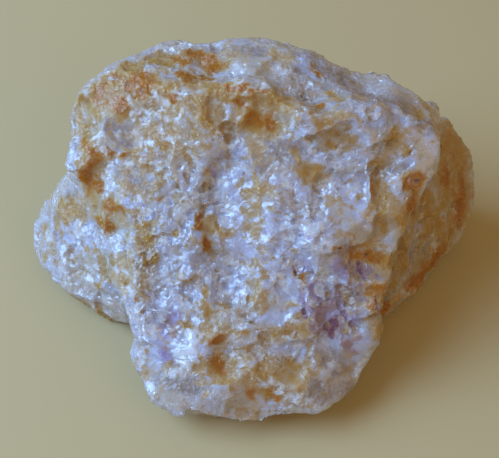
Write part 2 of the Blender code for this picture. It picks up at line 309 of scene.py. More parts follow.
        (290, 397, 304, 401, 5), (294, 355, 300, 352, 2.5), (298, 345, 302, 345, 4),
        (372, 352, 355, 373, 3.5), (412, 213, 415, 214, 2), (434, 235, 438, 250, 4),
        (456, 205, 457, 212, 3), (425, 205, 423, 220, 3), (85, 268, 97, 268, 4), (192, 300, 196, 312, 3),
        (196, 178, 200, 200, 4), (335, 160, 345, 176, 4), (356, 166, 362, 172, 3.5),
        (340, 150, 346, 156, 2.5), (380, 172, 392, 176, 3), (288, 262, 300, 268, 4),
        (226, 150, 232, 158, 3), (240, 172, 246, 164, 2.5), (222, 215, 228, 224, 4),
        (318, 238, 330, 246, 4), (300, 240, 312, 248, 4), (296, 276, 306, 290, 3.5),
        (322, 268, 330, 278, 3), (134, 196, 142, 200, 3), (150, 228, 156, 240, 3), (118, 188, 126, 194, 3),
        (330, 178, 336, 170, 3), (346, 184, 350, 196, 3), (286, 316, 296, 322, 3), (200, 272, 208, 282, 3),
        (210, 320, 216, 332, 2.5), (262, 348, 270, 352, 2.5), (335, 192, 337, 198, 1.4),
        (301, 216, 304, 211, 1.4), (283, 222, 285, 220, 1.2), (152, 334, 154, 336, 1.5),
        (228, 412, 230, 412, 1.5), (140, 318, 160, 334, 6), (132, 312, 140, 330, 3),
        (136, 262, 142, 272, 3), (160, 262, 170, 275, 3), (168, 292, 172, 300, 2.5),
        (235, 262, 240, 272, 3), (262, 250, 272, 256, 3), (226, 258, 230, 266, 2.5),
        (240, 300, 250, 304, 2.5), (66, 232, 78, 246, 4), (88, 228, 100, 240, 4), (108, 240, 120, 246, 3),
        (100, 175, 106, 192, 3), (205, 208, 212, 216, 2.5), (176, 188, 182, 196, 2.5),
        (186, 206, 190, 214, 2.5), (304, 284, 308, 290, 2), (312, 276, 316, 282, 2),
        (320, 286, 324, 292, 2), (308, 298, 312, 304, 2), (346, 306, 350, 312, 2), (350, 320, 352, 324, 2),
        (330, 272, 334, 276, 1.5), (190, 200, 198, 210, 4), (222, 140, 230, 150, 4),
        (188, 170, 194, 178, 4), (296, 222, 312, 232, 4), (318, 226, 322, 236, 3), (150, 165, 164, 170, 3),
        (128, 162, 136, 172, 4), (166, 200, 176, 214, 4), (398, 110, 412, 116, 4), (218, 138, 232, 148, 5),
        (186, 168, 200, 182, 5), (188, 196, 202, 212, 5), (126, 286, 140, 298, 4), (158, 316, 170, 330, 4),
        (220, 288, 230, 298, 4), (160, 240, 180, 256, 5), (140, 246, 150, 256, 4), (262, 292, 270, 300, 2),
        (240, 266, 246, 276, 3), (196, 176, 204, 196, 4), (226, 128, 236, 140, 4), (258, 374, 262, 368, 2),
        (270, 380, 284, 388, 4), (250, 352, 262, 346, 2.5), (190, 168, 202, 190, 5),
        (160, 268, 172, 282, 4), (136, 318, 142, 334, 4), (254, 350, 262, 360, 2.5),
        (256, 376, 262, 384, 2), (194, 160, 200, 172, 4), (192, 184, 198, 196, 4), (74, 232, 86, 242, 4),
        (112, 232, 122, 238, 4),
    ],
    "violet": [
        (320, 300, 330, 320, 10), (345, 300, 348, 322, 8), (308, 285, 318, 300, 7), (163, 334, 174, 316, 5),
        (165, 350, 165, 362, 4), (300, 240, 318, 239, 3), (424, 202, 422, 228, 4), (414, 248, 412, 268, 4),
        (345, 255, 352, 262, 4), (210, 170, 216, 176, 3), (300, 318, 312, 328, 4), (300, 272, 318, 296, 8),
        (306, 300, 318, 312, 6), (344, 302, 352, 322, 6), (338, 264, 346, 278, 6),
    ],
    "plum": [
        (335, 320, 333, 336, 5), (326, 327, 330, 330, 3), (358, 265, 362, 275, 3),
        (303, 305, 306, 318, 2.5), (352, 262, 345, 270, 2.5),
    ],
    "clear": [
        (345, 213, 365, 228, 14), (278, 296, 275, 304, 12), (105, 132, 125, 132, 12),
        (248, 143, 252, 148, 8), (430, 138, 429, 165, 9), (168, 330, 165, 340, 8), (365, 342, 352, 358, 12),
        (340, 385, 348, 380, 8), (160, 390, 168, 396, 9), (152, 362, 150, 370, 6), (242, 122, 258, 122, 10),
        (89, 172, 90, 190, 8), (251, 392, 252, 400, 8), (293, 378, 297, 384, 8), (250, 62, 262, 75, 9),
        (308, 171, 314, 171, 7), (204, 226, 206, 236, 8), (178, 350, 190, 345, 11), (398, 215, 402, 230, 9),
        (356, 68, 392, 82, 6), (396, 88, 432, 106, 6), (440, 118, 450, 128, 5), (390, 270, 384, 290, 8),
    ],
    "pale": [
        (92, 102, 122, 84, 14), (122, 84, 142, 72, 12), (165, 64, 190, 58, 10), (190, 58, 225, 58, 8),
        (196, 100, 212, 132, 13), (240, 108, 290, 108, 17), (90, 165, 90, 195, 13),
        (100, 208, 125, 225, 11), (210, 362, 250, 372, 16), (250, 372, 300, 378, 16),
        (205, 322, 226, 344, 10), (268, 340, 300, 330, 10), (385, 212, 410, 216, 12),
        (456, 145, 456, 215, 18), (430, 258, 404, 304, 14), (260, 268, 264, 272, 7), (128, 90, 150, 84, 12),
        (84, 140, 100, 156, 8), (428, 106, 434, 118, 6), (82, 112, 88, 150, 9), (118, 104, 176, 116, 12),
        (150, 130, 200, 134, 11), (130, 165, 160, 172, 9), (118, 190, 150, 196, 9),
        (428, 195, 434, 250, 12), (80, 205, 60, 222, 9), (90, 262, 130, 290, 12), (308, 172, 322, 178, 8),
        (352, 142, 364, 148, 6), (376, 166, 383, 184, 5), (324, 130, 334, 134, 6), (210, 226, 216, 232, 5),
        (178, 150, 190, 158, 8), (110, 262, 126, 262, 7), (248, 192, 270, 194, 9), (350, 148, 368, 142, 6),
        (250, 205, 256, 235, 7), (250, 266, 262, 300, 7), (396, 262, 390, 290, 8), (252, 172, 260, 212, 9),
        (248, 140, 262, 150, 8), (336, 112, 352, 120, 7), (278, 52, 292, 60, 6), (248, 408, 262, 414, 6),
        (158, 78, 172, 92, 6), (100, 200, 140, 212, 6), (42, 230, 50, 240, 5), (150, 104, 200, 112, 10),
    ],
    "smoke": [
        (300, 60, 345, 80, 12), (345, 86, 400, 104, 12), (398, 108, 428, 124, 8), (376, 285, 370, 322, 12),
        (346, 344, 352, 360, 8), (250, 146, 300, 150, 9), (122, 176, 150, 182, 9), (148, 226, 140, 246, 8),
        (320, 66, 330, 70, 6), (402, 268, 412, 250, 9), (395, 300, 389, 320, 8), (300, 92, 350, 96, 5),
        (286, 118, 300, 122, 5), (434, 225, 424, 262, 8), (110, 84, 118, 90, 6), (160, 80, 174, 84, 7),
        (112, 124, 126, 138, 9), (238, 156, 256, 168, 6), (374, 296, 384, 318, 9), (372, 324, 364, 336, 6),
        (328, 86, 350, 94, 6), (222, 80, 240, 88, 5), (196, 216, 202, 236, 5), (374, 300, 384, 312, 6),
        (326, 298, 338, 304, 7), (212, 50, 262, 52, 6), (336, 110, 352, 118, 6), (366, 290, 380, 300, 7),
        (372, 320, 380, 334, 7), (340, 350, 352, 360, 8), (310, 350, 322, 360, 6), (308, 380, 324, 392, 8),
        (338, 380, 350, 392, 8), (160, 380, 200, 388, 6), (158, 346, 168, 360, 6), (74, 112, 78, 150, 5),
        (340, 108, 380, 120, 7), (366, 284, 382, 312, 8), (209, 180, 213, 206, 3),
    ],
    # painted blue sheen, where the window light would reflect
    "coolSheen": [
        (150, 300, 156, 352, 12), (180, 300, 200, 345, 12), (352, 350, 372, 352, 9),
        (228, 176, 222, 212, 9), (60, 232, 90, 240, 12), (320, 336, 346, 326, 8), (330, 150, 350, 200, 12),
        (386, 172, 398, 196, 8), (300, 140, 318, 156, 8), (222, 140, 240, 180, 12), (190, 190, 200, 230, 8),
        (280, 185, 320, 200, 9), (145, 300, 165, 340, 12), (100, 280, 120, 296, 6), (355, 340, 372, 352, 9),
        (196, 165, 204, 205, 7), (340, 160, 372, 176, 12), (350, 112, 380, 118, 9),
        (285, 255, 300, 262, 12), (315, 325, 330, 340, 8), (196, 258, 220, 272, 10),
        (285, 335, 300, 350, 8), (222, 232, 240, 250, 8), (130, 205, 150, 220, 8), (300, 60, 316, 74, 5),
        (145, 60, 160, 56, 4), (405, 165, 410, 160, 5), (252, 385, 270, 392, 8), (200, 345, 214, 360, 6),
        (376, 345, 364, 372, 6), (350, 66, 392, 80, 6), (396, 86, 430, 102, 5), (180, 72, 192, 66, 3),
        (150, 62, 156, 60, 3), (215, 205, 235, 215, 8), (250, 360, 262, 352, 6), (205, 376, 222, 384, 5),
        (225, 238, 245, 250, 8), (250, 270, 300, 300, 10), (265, 318, 300, 318, 7), (270, 345, 290, 350, 6),
        (255, 380, 268, 386, 4), (160, 240, 185, 262, 9), (170, 205, 185, 225, 8), (345, 190, 372, 220, 8),
        (352, 128, 362, 134, 5), (300, 262, 322, 290, 13), (268, 218, 330, 235, 14),
        (205, 268, 236, 282, 12), (280, 280, 300, 292, 9), (398, 108, 412, 118, 6), (128, 288, 142, 304, 7),
        (188, 180, 200, 200, 9), (218, 140, 232, 152, 8), (400, 110, 412, 120, 6), (430, 138, 440, 152, 6),
        (308, 56, 322, 62, 5), (248, 350, 262, 362, 6), (250, 378, 262, 392, 6), (130, 310, 145, 335, 7),
        (190, 165, 198, 205, 8), (164, 262, 172, 280, 7), (150, 168, 164, 176, 6),
    ],
    "mauve": [
        (350, 262, 356, 285, 9), (364, 264, 370, 290, 9), (322, 320, 330, 326, 6), (308, 322, 318, 330, 5),
        (352, 330, 356, 336, 4), (370, 292, 380, 306, 5), (322, 312, 328, 306, 5), (346, 250, 372, 254, 5),
        (134, 226, 146, 238, 6), (166, 322, 174, 334, 3), (368, 298, 384, 310, 6), (352, 300, 360, 312, 5),
        (346, 342, 354, 350, 4), (356, 276, 372, 300, 7), (340, 290, 346, 298, 5), (366, 262, 372, 276, 5),
        (374, 282, 380, 292, 5), (358, 276, 376, 292, 8), (362, 296, 376, 306, 6),
    ],
}
# how a stroke's edge wanders, in mm
edge = {"sway": 0.18, "length": 2.2, "fray": 0.16, "frayLength": 0.7, "seed": 7}
fade = 2.3  # a stroke ends at this many times its width
bareFrom = (3, 8)  # mm from all strokes, where the stone counts as bare and where it is quite bare


def farFrom(points, start, end):
    # distance of each point to the line from start to end
    along = end - start
    shortest = 1e-6  # mm2, so that a stroke may also be a spot
    share = np.clip((points - start) @ along / max(along @ along, shortest), 0, 1)
    return np.linalg.norm(points - start - share[:, None] * along, axis=1)


def seenAt(stone, across, down):
    # the place on the stone that the camera sees there, and how many mm one step of the view is wide
    eye = Vector(camera["place"]) * mm
    width, height = view
    focal = camera["lens"] / camera["film"] * width
    turn = Matrix.Rotation(cameraTilt(), 3, "X")
    aim = turn @ Vector((across - width / 2, height / 2 - down, -focal)).normalized()
    hit, place = stone.ray_cast(eye, aim)[:2]
    if not hit:
        print("no stone at", across, down)
    return np.array(place) / mm, (place - eye).length / mm / focal


def storeAmount(stone, name, amount):
    layer = stone.data.attributes.new(name, "FLOAT", "POINT")
    layer.data.foreach_set("value", amount.astype(np.float32))


def paintStrokes(stone):
    # stores for each kind how deep a point lies in its strokes, from 1 in the middle to 0 where they end,
    # and under "bare" how far it is from all of them
    noise.seed_set(edge["seed"])
    count = len(stone.data.vertices)
    points = np.empty(count * 3, np.float32)
    stone.data.vertices.foreach_get("co", points)
    points = points.reshape(-1, 3) / mm
    sway = np.array([noise.noise_vector(Vector(point) / edge["length"]) for point in points])
    fray = np.array([noise.noise_vector(Vector(point) / edge["frayLength"]) for point in points])
    points = points + sway * edge["sway"] * 2 + fray * edge["fray"] * 2
    bare = np.full(count, np.inf)
    for kind, places in strokes.items():
        amount = np.zeros(count)
        for across, down, toAcross, toDown, wide in places:
            start, scale = seenAt(stone, across, down)
            end = seenAt(stone, toAcross, toDown)[0]
            away = farFrom(points, start, end)
            amount = np.maximum(amount, np.clip(1 - away / (wide * scale * fade), 0, 1))
            bare = np.minimum(bare, away)
        storeAmount(stone, kind, amount)
    near, far = bareFrom
    storeAmount(stone, "bare", np.clip((bare - near) / (far - near), 0, 1))
    print("strokes painted:", sum(len(places) for places in strokes.values()))


# each size of break, from large to small, in mm: "spare" is how far clear spots are left whole, "stretch"
# makes chips long or flat, and in each "block" they run one way
breaks = [
    {"cell": 5.0, "depth": 0.25, "tilt": 1.6, "bowl": 0.5, "spare": 0.4,
     "stretch": (1, 1.35, 0.8), "block": 60},
    {"cell": 2.2, "depth": 0.19, "tilt": 2.0, "bowl": 0.5, "spare": 0.75,
     "stretch": (1.2, 0.45, 1), "block": 11},
    {"cell": 1.1, "depth": 0.12, "tilt": 2.0, "bowl": 0.5, "spare": 0.95,
     "stretch": (1.2, 0.4, 1), "block": 7},
]

# what every size of break shares
chipping = {
    "blockScale": 0.32,  # 1/mm, of the noise that bends the blocks' borders
    "blockStray": 1.6,  # mm, how far it bends them
    "shifts": ((3.7, 1.1, 8.3), (11.9, 5.3, 2.7)),  # two sets of chips that cut into each other
    "blockShift": 53.0,  # cells from one block's chips to the next block's
    "seedStep": 17.0,  # cells from one size's chips to the next size's
    "middle": 0.6,  # how deep a chip is in its middle, as a share of its size's depth
    "deepest": 1.8,  # how deep it gets anywhere
    "crushScale": 0.13,  # 1/mm, of the noise that says what broke clean and what was crushed
    "crushEdge": (0.36, 0.6),  # of that noise, from clean to crushed
    "crush": (0.6, 1.1),  # the chips' depth where it broke clean and where it was crushed
    "frostAndHighlightCrush": (0.75, 0.6),  # and their depth off the frosted and painted-highlight patches, and how much more it is on them
    "stainSpare": 0.5,  # a stained stretch is spared by this share of what a clear spot is
    "footRise": (0.1, 1.2),  # mm over the foot, where the chips start to move up and down
}

grain = {
    "merge": 0.001,  # mm
    "voxel": 0.235,  # mm, the squares that the finer breaks are cut in
    "softness": 0.5,  # of each softening step
    "softening": 3,  # steps, before the breaks are cut
    "lastSoftening": 1,
    "triangles": 192000,
    "sharpFrom": 22,  # degrees between two faces that show as an edge
}


def chipGroup():
    # cuts one size of shell-shaped, tipped chips into a skin, and stores a random colour for each chip
    group, t, start, end = newGroup(
        "chips", "GeometryNodeTree",
        [("Geometry", "Geometry"), ("Cell", "Float", 2.0), ("Depth", "Float", 0.3), ("Tilt", "Float", 1.0),
         ("Bowl", "Float", 1.0), ("Block", "Float", 10.0), ("Stretch", "Vector"), ("Seed", "Float", 0.0),
         ("Tone", "String", "tone"), ("Spare", "Float", 0.5)],
        [("Geometry", "Geometry")])
    middle = (0.5, 0.5, 0.5)  # of a random colour
    place = t.vector("SCALE", t.node("GeometryNodeInputPosition").outputs[0], scale=1 / mm)
    stray = t.vector("SUBTRACT", t.noise(place, chipping["blockScale"], 2.0, "Color"), middle)
    stray = t.vector("SCALE", stray, scale=chipping["blockStray"])
    # the chips run one way in each block, and each block is turned its own way
    inBlocks = t.vector("SCALE", t.vector("ADD", place, stray), scale=t.math("DIVIDE", 1.0, start["Block"]))
    block = t.node("ShaderNodeTexVoronoi", {"Vector": inBlocks, "Scale": 1.0})
    inBlock = t.vector("SUBTRACT", inBlocks, block.outputs["Position"])
    inBlock = t.vector("SCALE", inBlock, scale=start["Block"])
    turn = t.vector("SCALE", block.outputs["Color"], scale=math.tau)
    turned = t.node(
        "ShaderNodeVectorRotate", {"Vector": inBlock, "Rotation": turn}, rotation_type="EULER_XYZ")
    spread = t.vector("MULTIPLY", turned.outputs[0], start["Stretch"])
    inCells = t.vector("SCALE", spread, scale=t.math("DIVIDE", 1.0, start["Cell"]))
    apart = t.vector("SCALE", block.outputs["Color"], scale=chipping["blockShift"])
    inCells = t.vector("ADD", inCells, apart)
    seed = t.node("ShaderNodeCombineXYZ", {"X": start["Seed"]}).outputs[0]
    heights = []
    colours = []
    for shift in chipping["shifts"]:
        moved = t.vector("ADD", t.vector("ADD", inCells, shift), seed)
        cell = t.node("ShaderNodeTexVoronoi", {"Vector": moved, "Scale": 1.0, "Randomness": 1.0})
        fromMiddle = t.vector("SUBTRACT", moved, cell.outputs["Position"])
        lean = t.vector("SUBTRACT", cell.outputs["Color"], middle)
        steep = t.math("MULTIPLY", start["Tilt"], 2.0)
        slope = t.math("MULTIPLY", t.vector("DOT_PRODUCT", fromMiddle, lean), steep)
        bowl = t.math("MULTIPLY", t.vector("DOT_PRODUCT", fromMiddle, fromMiddle), start["Bowl"])
        heights.append(t.math("ADD", slope, bowl))
        colours.append(cell.outputs["Color"])
    lower = t.math("MINIMUM", *heights)
    cut = t.math("MULTIPLY_ADD", lower, -1.0, chipping["middle"])
    cut = t.node("ShaderNodeClamp", {"Value": cut, "Min": 0.0, "Max": chipping["deepest"]}).outputs[0]
    # some stretches broke clean and others were crushed
    crush = t.ramp(
        t.noise(place, chipping["crushScale"], 1.5), *chipping["crushEdge"], *chipping["crush"])
    clear, frostAndHighlight, stained = (
        t.node("GeometryNodeInputNamedAttribute", {"Name": name}, data_type="FLOAT").outputs[0]
        for name in ("clear", "frostAndHighlight", "pale"))
    crush = t.math("MULTIPLY", crush, t.math("SUBTRACT", 1.0, t.math("MULTIPLY", clear, start["Spare"])))
    whole, more = chipping["frostAndHighlightCrush"]
    crush = t.math("MULTIPLY", crush, t.math("MULTIPLY_ADD", frostAndHighlight, more, whole))
    stained = t.math("MULTIPLY", stained, t.math("MULTIPLY", start["Spare"], chipping["stainSpare"]))
    crush = t.math("MULTIPLY", crush, t.math("SUBTRACT", 1.0, stained))
    depth = t.math("MULTIPLY", t.math("MULTIPLY", cut, start["Depth"]), crush)
    outward = t.node("GeometryNodeInputNormal").outputs[0]
    move = t.vector("SCALE", outward, scale=t.math("MULTIPLY", depth, -mm))
    # the foot stays flat, and near it the walls only move inwards
    rise = t.ramp(t.parts(place)["Z"], *chipping["footRise"])
    rise = t.node("ShaderNodeCombineXYZ", {"X": 1.0, "Y": 1.0, "Z": rise}).outputs[0]
    move = t.vector("MULTIPLY", move, rise)
    deeper = t.math("LESS_THAN", heights[0], heights[1])
    tone = t.node("ShaderNodeMix", {"Factor": deeper}, data_type="VECTOR")
    under, over = tone.inputs[4], tone.inputs[5]
    t.feed(under, colours[1])
    t.feed(over, colours[0])
    kept = t.node("GeometryNodeStoreNamedAttribute", {
        "Geometry": start["Geometry"], "Name": start["Tone"], "Value": tone.outputs[1]},
        data_type="FLOAT_VECTOR", domain="POINT")
    moved = t.node("GeometryNodeSetPosition", {"Geometry": kept.outputs[0], "Offset": move})
    t.feed(end["Geometry"], moved.outputs[0])
    return group


# how far a point stands out of the skin round it: smoothing steps of that skin, and the mm that count as 1
stands = {"crest": (3, 0.16), "swell": (26, 0.7)}


def measureGroup():
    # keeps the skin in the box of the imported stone, and stores how far each point stands out
    group, t, start, end = newGroup(
        "measure", "GeometryNodeTree",
        [("Geometry", "Geometry"), ("Low", "Vector"), ("High", "Vector")], [("Geometry", "Geometry")])
    point = t.node("GeometryNodeInputPosition").outputs[0]
    inside = t.vector("MAXIMUM", t.vector("MINIMUM", point, start["High"]), start["Low"])
    skin = t.node("GeometryNodeSetPosition", {"Geometry": start["Geometry"], "Position": inside}).outputs[0]
    outward = t.node("GeometryNodeInputNormal").outputs[0]
    for name, (steps, span) in stands.items():
        smooth = t.node("GeometryNodeBlurAttribute", {"Iterations": steps}, data_type="FLOAT_VECTOR")
        t.feed(next(socket for socket in smooth.inputs if socket.name == "Value" and socket.enabled), point)
        blurred = next(socket for socket in smooth.outputs if socket.enabled)
        above = t.vector("DOT_PRODUCT", t.vector("SUBTRACT", point, blurred), outward)
        skin = t.node("GeometryNodeStoreNamedAttribute", {
            "Geometry": skin, "Name": name, "Value": t.math("MULTIPLY", above, 1 / (mm * span))},
            data_type="FLOAT", domain="POINT").outputs[0]
    t.feed(end["Geometry"], skin)
    return group


def addModifier(obj, kind, **settings):
    made = obj.modifiers.new(kind.title(), kind)
    for name, value in settings.items():
        setattr(made, name, value)
    return made


def applyAll(obj):
    pick(obj)
    for name in [modifier.name for modifier in obj.modifiers]:
        bpy.ops.object.modifier_apply(modifier=name)


def giveInputs(modifier, values):
    # sets a geometry nodes modifier's inputs by their names
    for item in modifier.node_group.interface.items_tree:
        if item.item_type == "SOCKET" and item.in_out == "INPUT" and item.name in values:
            modifier[item.identifier] = values[item.name]


def countTriangles(obj):
    return sum(len(face.vertices) - 2 for face in obj.data.polygons)


def breakStone():
    pick(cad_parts["quartz"])
    bpy.ops.object.duplicate()
    stone = bpy.context.object
    stone.name = "brokenQuartz"
    stone.data.name = "brokenQuartz"
    stone.data.materials.clear()
    bpy.ops.object.mode_set(mode="EDIT")
    bpy.ops.mesh.select_all(action="SELECT")
    bpy.ops.mesh.remove_doubles(threshold=grain["merge"] * mm)
    bpy.ops.object.mode_set(mode="OBJECT")
    addModifier(stone, "REMESH", mode="VOXEL", voxel_size=grain["voxel"] * mm)
    addModifier(stone, "SMOOTH", factor=grain["softness"], iterations=grain["softening"])
    applyAll(stone)
    print("skin:", countTriangles(stone), "triangles")
    paintStrokes(stone)
    chips = chipGroup()
    for number, cut in enumerate(breaks):
        modifier = addModifier(stone, "NODES", node_group=chips)
        giveInputs(modifier, {name.title(): value for name, value in cut.items()})
        giveInputs(modifier, {"Seed": chipping["seedStep"] * number, "Tone": f"tone{number}"})
        applyAll(stone)
        print("breaks of", cut["cell"], "mm cut")
    addModifier(stone, "SMOOTH", factor=grain["softness"], iterations=grain["lastSoftening"])
    addModifier(stone, "DECIMATE", ratio=grain["triangles"] / countTriangles(stone))
    applyAll(stone)
    modifier = addModifier(stone, "NODES", node_group=measureGroup())
    giveInputs(modifier, {"Low": tuple(cadBox[0]), "High": tuple(cadBox[1])})
    applyAll(stone)
    pick(stone)
    bpy.ops.object.shade_smooth_by_angle(angle=math.radians(grain["sharpFrom"]))
    print("stone:", countTriangles(stone), "triangles")
    return stone


# the colours of clean quartz, of what stains it, and of painted highlight, sheen and shade. "shows": where a
# colour starts and where it is full, from 0 at the rim of its strokes to 1 in their middle. "cover": how
# much it hides there of what is under it. "waver": how much the fine noise adds to it or takes from it. The
# painted crevice shade is darkest at its first number and ends at its second, both in heights over the skin
# round it.
stain = {
    "milk": {"colour": (0.66, 0.56, 0.48)},
    "coolMilk": {"colour": (0.66, 0.64, 0.72), "shows": (0.5, 0.8)},
    "glass": {"colour": (0.62, 0.53, 0.45), "shows": (0.2, 0.6)},
    "smoke": {"colour": (0.48, 0.39, 0.35), "shows": (0.1, 0.7), "waver": 0.2},
    # painted blue sheen of the window light
    "blueSheen": {"colour": (0.66, 0.70, 0.92), "shows": (0.1, 0.8), "waver": 0.2, "cover": 0.8},
    "violet": {"colour": (0.46, 0.37, 0.64), "shows": (0.15, 0.8), "waver": 0.3, "cover": 0.85},
    "mauve": {"colour": (0.46, 0.30, 0.31), "shows": (0.1, 0.7)},
    "paleHoney": {"colour": (0.64, 0.46, 0.27), "shows": (0.08, 0.4)},
    "honey": {"colour": (0.60, 0.34, 0.09), "shows": (0.3, 0.9)},
    "deepHoney": {"colour": (0.54, 0.19, 0.01), "shows": (0.2, 0.9)},
    "plum": {"colour": (0.24, 0.09, 0.18), "shows": (0.4, 0.9), "waver": 0.5},
    # frost: crushed white quartz, and painted highlights and glints
    "frostAndHighlight": {"colour": (0.95, 0.95, 0.97), "shows": (0.65, 0.98), "waver": 0.15, "cover": 0.75},
    # painted shade in the crevices
    "creviceShade": {"colour": (0.48, 0.39, 0.35), "shows": (-0.9, -0.2), "cover": 0.3},
    "rust": {"colour": (0.24, 0.08, 0.03), "shows": (0.4, 0.8), "waver": 0.4},
}

# the noises behind the stains, with scales in 1/mm
pattern = {
    "swirl": 0.4,
    "stray": 2.0,  # mm, how far the swirl bends the others
    "broad": 0.16,
    "fine": 1.2,
    "speck": 2.6,
    "veins": 0.55,
    "veinWidth": 0.035,  # of the noise's range
    "streaks": 0.8,
    "streakTurn": (0.3, 0.5, 0.9),  # radians
    "streakStretch": (0.6, 3.5, 3.0),
    "streakEdge": (0.35, 0.6),
    "breaksInMilk": 0.2,  # how much each break strays in how cool its milk is
}
toneSpan = (0.1, 0.9)  # most random tones of the breaks lie between these

# how much of the honey stain comes from what
honeying = {
    "bigBreaks": 0.2,  # of the patches
    "patchEdge": (0.50, 0.74),
    "patches": (0.15, 0.8),  # near the strokes, and how much more far from them
    "pale": 0.5,
    "middleBreaks": 0.16,
    "smallBreaks": 0.12,
    "fine": 0.15,
    "speck": 0.12,
    "hollows": 0.06,
}

# how much of the frost and painted highlight comes from what
frostAndHighlightParts = {
    "middleBreaks": 0.32,
    "smallBreaks": 0.4,
    "fineBreaks": 0.2,
    "flecks": (0.55, 0.35),  # near the strokes, and how much more far from them
    "stainLoss": 0.5,  # the share of the flecks that a stain takes away
    "speck": 0.15,
    # crests lightened: partly chipped white edges, partly painted edge highlight
    "edges": 0.28,
    "betweenStreaks": 0.55,
    "veins": 0.12,
}

# the smallest breaks, only as a height: how many to a mm, and their share of it
fineBreaks = {
    "cells": ((1.5, 0.30), (3.2, 0.13)),
    "sugar": (5.0, 0.10),
    "fades": (0.2, 0.7),  # from where to where a clear spot or a stain smooths them
    "inClear": 0.3,  # how much is left of them there
    "inHoney": 0.7,
}

gloss = {
    "roughness": (0.08, 0.28),  # from one break to the next
    "frostAndHighlightRoughness": 0.15,
    "bump": 0.6,
    "ior": 1.544,
    "specular": 0.25,
    "seeThrough": 0.4,
    "milkiness": 0.8,
    "milkDepth": 4,  # mm
    "milkReach": (0.9, 0.8, 0.75),  # of that depth, for red, green and blue
    "coat": 0.9,  # on clean quartz
    "coatFades": (0.1, 0.5),  # from where to where a stain takes it away
    "coatRoughness": 0.13,
    "coatIor": 1.6,
    "absorb": (1.0, 0.78, 0.46),
    "absorbDensity": 30,  # 1/m
}


def grainGroup():
    # the smallest breaks: shell-shaped cells and sugar grain, as a height, and a tone for each cell
    group, t, start, end = newGroup(
        "breakGrain", "ShaderNodeTree",
        [("Place", "Vector"), ("Crush", "Float", 0.5)], [("Height", "Float"), ("Tone", "Float")])
    heights = []
    for size, share in fineBreaks["cells"]:
        moved = t.vector("SCALE", start["Place"], scale=size)
        cell = t.node("ShaderNodeTexVoronoi", {"Vector": moved, "Scale": 1.0})
        fromMiddle = t.vector("SUBTRACT", moved, cell.outputs["Position"])
        lean = t.vector("SUBTRACT", cell.outputs["Color"], (0.5, 0.5, 0.5))
        slope = t.vector("DOT_PRODUCT", fromMiddle, lean)
        bowl = t.vector("DOT_PRODUCT", fromMiddle, fromMiddle)
        heights.append(t.math("MULTIPLY", t.math("MULTIPLY_ADD", slope, 2.0, bowl), share))
    size, share = fineBreaks["sugar"]
    sugar = t.math("MULTIPLY", t.noise(start["Place"], size, 2.0), share)
    height = t.math("ADD", t.math("ADD", *heights), sugar)
    t.feed(end["Height"], t.math("MULTIPLY", height, start["Crush"]))
    t.feed(end["Tone"], t.parts(cell.outputs["Color"])["X"])
    return group


def readAttribute(t, name, output="Fac"):
    return t.node("ShaderNodeAttribute", attribute_name=name).outputs[output]


def newMaterial(name):
    material = bpy.data.materials.new(name)
    material.use_nodes = True
    return material, material.node_tree.nodes["Principled BSDF"]


